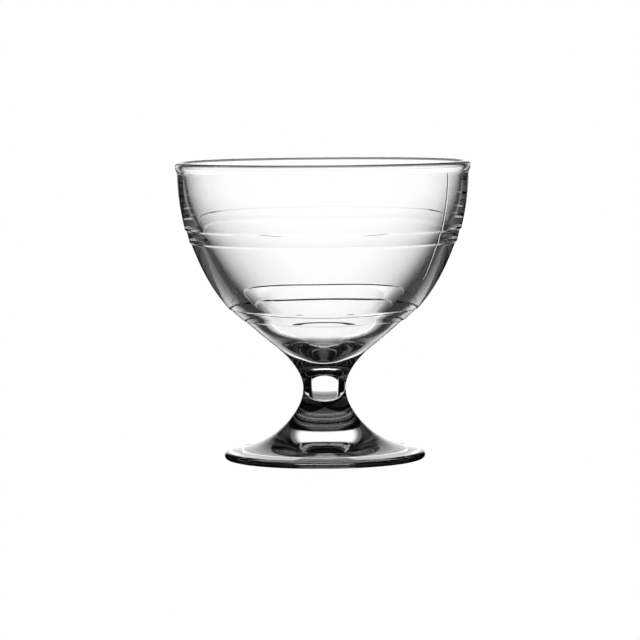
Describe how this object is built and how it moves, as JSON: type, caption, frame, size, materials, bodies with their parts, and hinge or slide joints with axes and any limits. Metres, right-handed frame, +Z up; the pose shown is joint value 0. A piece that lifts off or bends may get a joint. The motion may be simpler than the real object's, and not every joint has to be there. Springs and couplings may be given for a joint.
{
  "type": "ice cream glass",
  "caption": "Clear footed dessert glass: round bowl with two stepped ring bands and a beaded rim, on a short waisted stem and a flared round foot.",
  "frame": {"origin": "centre of the foot's bearing ring, on the surface the glass stands on", "axes": "+Z up along the axis of the glass, X and Y across it"},
  "size_m": [0.0994, 0.0994, 0.1],
  "materials": {
    "clear_glass": "clear pressed soda-lime glass, fire polished"
  },
  "bodies": {
    "root": {"bowl": "clear_glass", "stem": "clear_glass", "foot": "clear_glass"}
  },
  "joints": []
}
